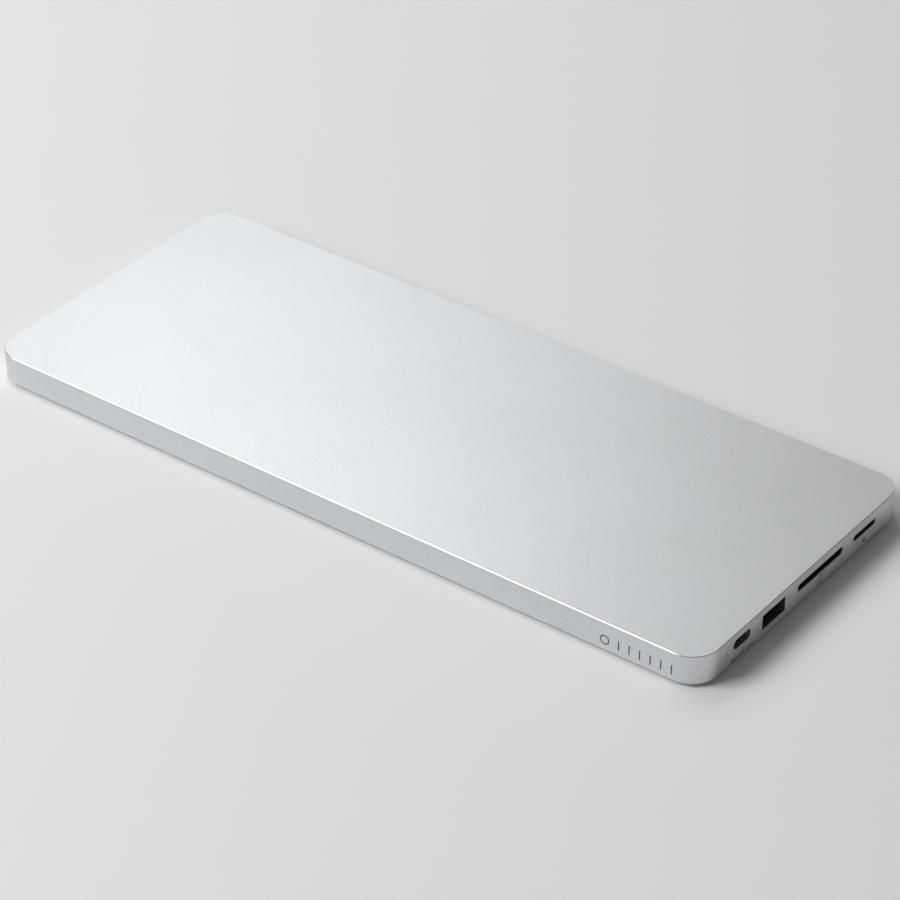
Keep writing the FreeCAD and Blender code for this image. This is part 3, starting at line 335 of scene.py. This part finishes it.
def contact_gold():
    """Thin gold plating over nickel."""
    surface = Surface("contact_gold", Metallic=1.0)
    wipe = surface.noise(0.15, detail=3.0, stretch=(0.2, 1, 1))
    surface.colour_by(wipe, (0.78, 0.55, 0.22), (0.92, 0.70, 0.34))
    surface.rough_by(wipe, 0.2, 0.36)
    surface.bump(wipe, 0.003)
    return surface.material


def circuit_board():
    """Solder mask over copper: tracks show as slightly raised, lighter lines."""
    surface = Surface("board", Coat_Weight=0.35, Coat_Roughness=0.2)
    track = surface.add("ShaderNodeTexBrick", offset=0.5)
    surface.join(surface.millimetres, track.inputs["Vector"])
    sizes = {"Scale": 0.45, "Mortar Size": 0.06, "Brick Width": 1.7, "Row Height": 0.4}
    for socket, number in sizes.items():
        track.inputs[socket].default_value = number
    patch = surface.remap(surface.noise(9), 0, 1, 0.45, 0.55)
    copper = surface.maths("MULTIPLY", track.outputs["Fac"], patch)
    surface.colour(surface.between(copper, (0.006, 0.028, 0.018), (0.014, 0.060, 0.036)))
    surface.rough(surface.remap(surface.noise(0.4), 0.3, 0.45))
    surface.bump(copper, 0.03)
    return surface.material


def status_white():
    """The light's white lens."""
    surface = Surface("led_white", Roughness=0.3, Transmission_Weight=0.2, Subsurface_Weight=0.3)
    haze = surface.noise(0.3)
    surface.colour(surface.between(haze, (0.86, 0.86, 0.82), (0.97, 0.97, 0.95)))
    surface.bump(haze, 0.003)
    return surface.material


def clear_pipe():
    """Smoked polycarbonate, dark while its light is off."""
    surface = Surface("clear_pipe", Roughness=0.2, Transmission_Weight=0.5, IOR=1.58)
    haze = surface.noise(0.25)
    surface.colour(surface.between(haze, (0.10, 0.10, 0.11), (0.16, 0.16, 0.17)))
    surface.bump(haze, 0.003)
    return surface.material


def etched_ink(name, shade):
    """Laser-darkened anodising: dark grey, with the blasted grain still in it."""
    surface = Surface(name, Metallic=0.3)
    grain = surface.noise(0.12, detail=3.0)
    grey = (shade, 1.01 * shade, 1.03 * shade)
    surface.colour_by(grain, scaled(grey, 0.8), scaled(grey, 1.25))
    surface.rough_by(grain, 0.45, 0.65)
    surface.bump(grain, 0.006)
    return surface.material


def make_materials():
    """One material for each slot of the record, and a brighter steel for the type C shells."""
    materials = [
        blasted_aluminium("case_aluminium", (0.735, 0.757, 0.774), 0.42, 0.16, milled_with_wall_shade=True),
        blasted_aluminium("base_aluminium", (0.78, 0.80, 0.815), 0.46, 0.2),
        foot_rubber(),
        screw_steel(),
        contact_gold(),
        circuit_board(),
        soft_pad(),
        status_white(),
        clear_pipe(),
        plated_steel("connector_steel", (0.48, 0.48, 0.49), (0.60, 0.60, 0.61), 0.30),
        plated_steel("bright_steel", (0.86, 0.86, 0.87), (0.95, 0.95, 0.96), 0.18),
        plated_steel("crystal_can", (0.6, 0.6, 0.6), (0.75, 0.75, 0.75), 0.25),
        plated_steel("can_aluminium", (0.72, 0.72, 0.73), (0.84, 0.84, 0.85), 0.3),
        moulded_plastic("frame_plastic", (0.016, 0.016, 0.018), (0.028, 0.028, 0.03), 0.52),
        moulded_plastic(
            "connector_plastic", (0.009, 0.009, 0.01), (0.016, 0.016, 0.017), 0.45, 0.1
        ),
        moulded_plastic(
            "chip_epoxy", (0.014, 0.014, 0.015), (0.026, 0.026, 0.028), 0.6, 0.12, 0.006
        ),
        moulded_plastic("ferrite", (0.045, 0.045, 0.05), (0.075, 0.075, 0.08), 0.55, 0.3, 0.015),
        moulded_plastic(
            "capacitor_ceramic", (0.30, 0.19, 0.10), (0.42, 0.28, 0.16), 0.4, 0.1, 0.004
        ),
    ]
    # Blender numbers a name that one of the frame's plain materials already has, as in board.001.
    return {material.name.split(".")[0]: material for material in materials}


def finish_cad_nodes(materials):
    """Gives every CAD node its slot's material, and the type C shells the brighter steel."""
    for part in frame["record"]["subparts"]:
        name = part["node"]
        finish = "bright_steel" if name.endswith("usb_c_shell") else part["material_slot"]
        for slot in frame["nodes"][name].material_slots:
            slot.material = materials[finish]


# ---------------------------------------------------------------- etched marks

# Sizes in millimetres. The levels are heights above the case's lower edge, where a mark's v is 0.
# A card is its width, its height and its cut corner, and a dot is its middle and its radius.
TYPE_C_LEVEL, SD_LEVEL, MICROSD_LEVEL, FRONT_LEVEL = 1.0, 2.45, 2.1, 3.85
FRONT_MARK_START = 35.5  # from the port end to the ring's left side
BAR_START, BAR_PITCH, BAR_SIZE, BAR_PLACES, BAR_GAPS = -5.6, 0.95, (0.42, 1.3), 13, (4, 8)
DOTS = ((0.3, 1.6, 0.28), (7.2, 0.1, 0.32))
SD_CARD, SD_LINE, MICROSD_CARD = (2.2, 2.9, 0.7), 0.3, (1.1, 1.5, 0.4)
STRIPE_START, STRIPE_PITCH, STRIPE_SIZE, STRIPE_COUNT = 6.7, 3.75, (0.45, 3.4), 6
RING_OUTSIDE, RING_INSIDE, RING_STEPS = 1.7, 1.28, 64


def mark_object(name, loops, place, slot):
    """A flat mark filled between closed loops, laid on a face. A loop inside another is a hole."""
    curve = bpy.data.curves.new(name, "CURVE")
    curve.dimensions = "2D"
    curve.fill_mode = "BOTH"
    for points in loops:
        spline = curve.splines.new("POLY")
        spline.points.add(len(points) - 1)
        for point, (u, v) in zip(spline.points, points):
            point.co = (u * MM, v * MM, 0, 1)
        spline.use_cyclic_u = True
    flat = bpy.data.objects.new(name + "_flat", curve)
    mesh = bpy.data.meshes.new_from_object(flat)
    bpy.data.objects.remove(flat)
    bpy.data.curves.remove(curve)
    mesh.transform(place)
    mark = bpy.data.objects.new(name, mesh)
    bpy.context.scene.collection.objects.link(mark)
    mesh.materials.append(slot)
    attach(mark, "case")


def on_end(y, level):
    """A face frame on the port end: u to the rear, v up."""
    axes = Matrix(((0, 0, 1), (1, 0, 0), (0, 1, 0))).to_4x4()
    return Matrix.Translation((END_X + INK_PROUD, y, CASE_LOW.z + level * MM)) @ axes


def on_front(x, level):
    """A face frame on the front side: u to the right, v up."""
    axes = Matrix(((1, 0, 0), (0, 0, -1), (0, 1, 0))).to_4x4()
    return Matrix.Translation((x, FRONT_Y - INK_PROUD, CASE_LOW.z + level * MM)) @ axes


def box_loop(u, v, width, height):
    """A rectangle about a middle point."""
    a, b = width / 2, height / 2
    return [(u - a, v - b), (u + a, v - b), (u + a, v + b), (u - a, v + b)]


def round_loop(u, v, radius, count=32):
    """A circle."""
    turns = (2 * math.pi * step / count for step in range(count))
    return [(u + radius * math.cos(turn), v + radius * math.sin(turn)) for turn in turns]


def card_loop(width, height, cut, inset=0.0):
    """A memory card's outline with one cut corner, or the line inside it at that inset."""
    a, b = width / 2 - inset, height / 2 - inset
    return [(-a, -b), (a, -b), (a, b), (-a + cut, b), (-a, b - cut)]


def middle_across(name):
    """How far a node's middle is from the case's, front to rear."""
    low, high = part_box(name)
    return (low[1] + high[1]) / 2


def make_marks():
    """Plain symbols: bars and dots by the type C port, cards by the slots, a ring and stripes."""
    ink = etched_ink("port_ink", 0.05)
    faint_ink = etched_ink("card_ink", 0.14)
    type_c_y, sd_y, microsd_y = (
        middle_across(name) for name in ("usb_c_shell", "sd_socket_frame", "microsd_socket_frame")
    )
    places = (place for place in range(BAR_PLACES) if place not in BAR_GAPS)
    bars = [box_loop(BAR_START + BAR_PITCH * place, 0, *BAR_SIZE) for place in places]
    dots = [round_loop(*dot) for dot in DOTS]
    mark_object("type_c_mark", bars + dots, on_end(type_c_y, TYPE_C_LEVEL), ink)
    card = [card_loop(*SD_CARD), card_loop(*SD_CARD, inset=SD_LINE)]
    mark_object("sd_mark", card, on_end(sd_y, SD_LEVEL), faint_ink)
    mark_object("microsd_mark", [card_loop(*MICROSD_CARD)], on_end(microsd_y, MICROSD_LEVEL), ink)
    radii = (RING_OUTSIDE, RING_INSIDE)
    ring = [round_loop(RING_OUTSIDE, 0, radius, RING_STEPS) for radius in radii]
    starts = (STRIPE_START + STRIPE_PITCH * step for step in range(STRIPE_COUNT))
    stripes = [box_loop(start, 0, *STRIPE_SIZE) for start in starts]
    left = END_X - FRONT_MARK_START * MM
    mark_object("front_mark", ring + stripes, on_front(left, FRONT_LEVEL), ink)


# ---------------------------------------------------------------- studio

# Each soft box: its name, its place and its size in metres, and its power in watts.
SOFT_BOXES = (
    ("front_left_box", (-1.0, -1.2, 1.3), (1.0, 1.0), 32.0),
    ("left_box", (-1.6, 0, 1.4), (1.0, 1.0), 3.4),
    ("near_left_box", (-0.9, 0.6, 1.1), (0.8, 0.8), 3.4),
    ("high_left_box", (-0.8, 0, 2.0), (1.0, 1.0), 2.8),
    ("rear_left_box", (-1.1, 1.4, 1.2), (1.0, 1.0), 2.8),
    ("rear_box", (0, 1.8, 1.1), (1.0, 0.8), 2.6),
    ("low_right_box", (1.8, 0.3, 0.8), (1.0, 0.8), 1.9),
    ("front_right_box", (1.0, -1.4, 1.5), (1.0, 1.0), 1.8),
    ("low_front_box", (0.3, -1.9, 0.7), (1.2, 0.8), 1.2),
)


def make_floor():
    """A wide pale floor."""
    mesh = bpy.data.meshes.new("floor")
    reach = FLOOR_REACH
    corners = [(-reach, -reach, 0), (reach, -reach, 0), (reach, reach, 0), (-reach, reach, 0)]
    mesh.from_pydata(corners, [], [(0, 1, 2, 3)])
    floor = bpy.data.objects.new("floor", mesh)
    floor.location.z = cad_box[0][2] - FLOOR_GAP
    bpy.context.scene.collection.objects.link(floor)
    surface = Surface("floor_paper", Roughness=0.9, Specular_IOR_Level=0.1)
    surface.colour(surface.between(surface.noise(40), (0.87, 0.87, 0.875), (0.88, 0.88, 0.88)))
    mesh.materials.append(surface.material)


def area_light(name, place, size, power):
    """A soft box that faces the hub."""
    data = bpy.data.lights.new(name, "AREA")
    data.shape = "RECTANGLE"
    data.size, data.size_y = size
    data.energy = power
    light = bpy.data.objects.new(name, data)
    light.location = place
    to_hub = Vector((0, 0, 0)) - Vector(place)
    light.rotation_euler = to_hub.to_track_quat("-Z", "Y").to_euler()
    bpy.context.scene.collection.objects.link(light)


def make_studio():
    """Soft boxes all round: strongest from the front left, so that the port end is in shade."""
    scene = bpy.context.scene
    scene.world = bpy.data.worlds.new("studio")
    scene.world.use_nodes = True
    background = scene.world.node_tree.nodes["Background"]
    background.inputs["Color"].default_value = WORLD_GREY
    scene.view_settings.view_transform = "Standard"
    for soft_box in SOFT_BOXES:
        area_light(*soft_box)


make_camera()
finish_cad_nodes(make_materials())
make_marks()
make_floor()
make_studio()
